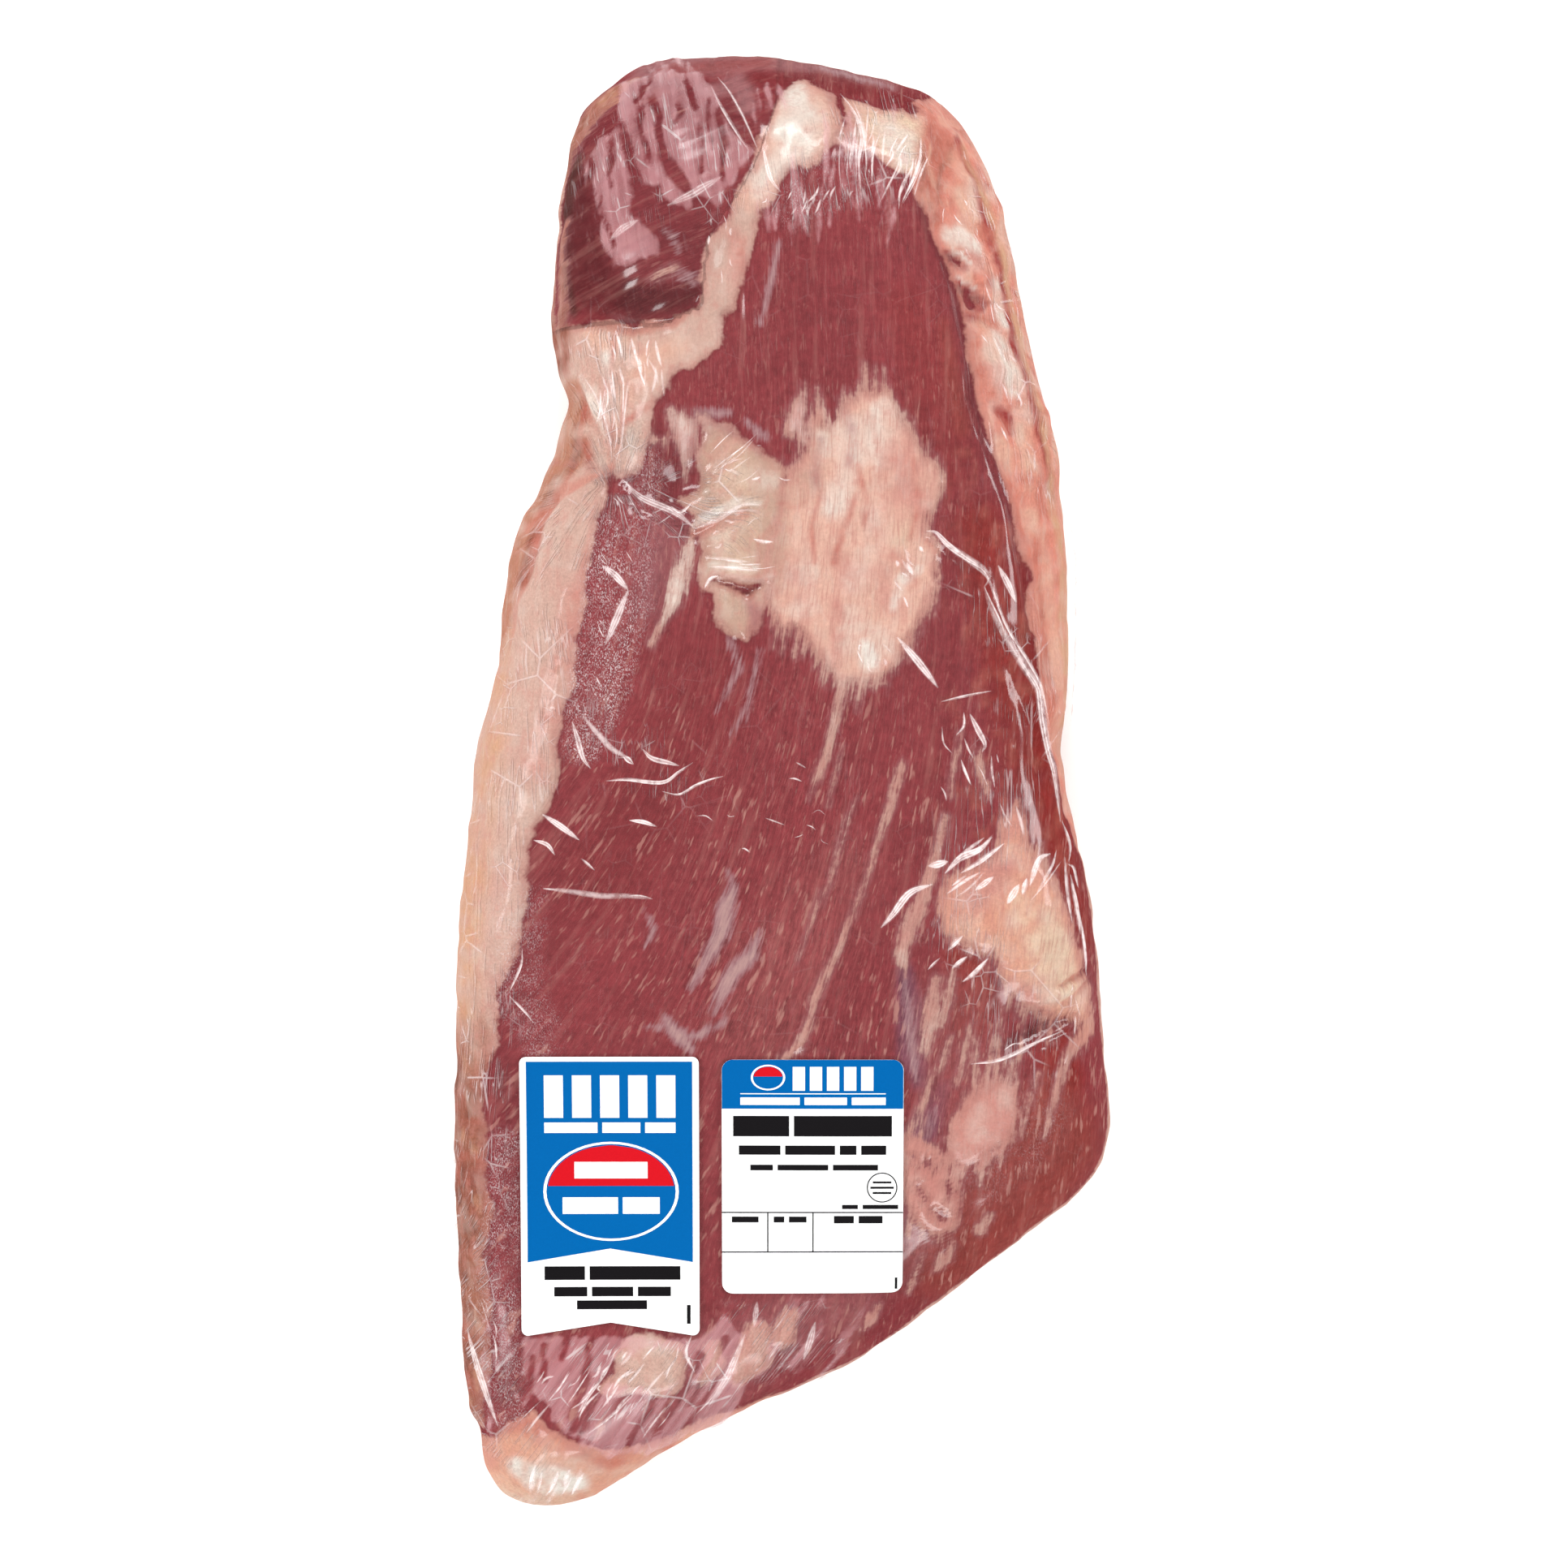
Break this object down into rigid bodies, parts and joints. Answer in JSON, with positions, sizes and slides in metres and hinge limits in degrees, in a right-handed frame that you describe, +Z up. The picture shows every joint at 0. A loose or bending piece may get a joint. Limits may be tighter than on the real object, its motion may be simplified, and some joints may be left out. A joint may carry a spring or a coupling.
{
  "type": "vacuum-packed raw beef brisket",
  "caption": "Whole raw beef brisket in a clinging clear bag, lying on its fat cap with the lean side up, thick at one end, thin and slanted at the other, with two paper labels.",
  "frame": {"origin": "middle of the footprint's bounding box, on the surface that the brisket lies on", "axes": "+Z up, +Y along the length towards the thick point end, +X across"},
  "size_m": [0.22, 0.492, 0.0992],
  "materials": {
    "meat": "raw beef and cream fat seen through a clear clinging film, wet and glossy",
    "film": "thin clear vacuum bag film, glossy, milky at its folds and creases",
    "label_paper": "smooth coated paper label, printed in blue, red and black"
  },
  "bodies": {
    "root": {"brisket": "meat", "grade_label": "label_paper", "price_label": "label_paper"}
  },
  "joints": []
}
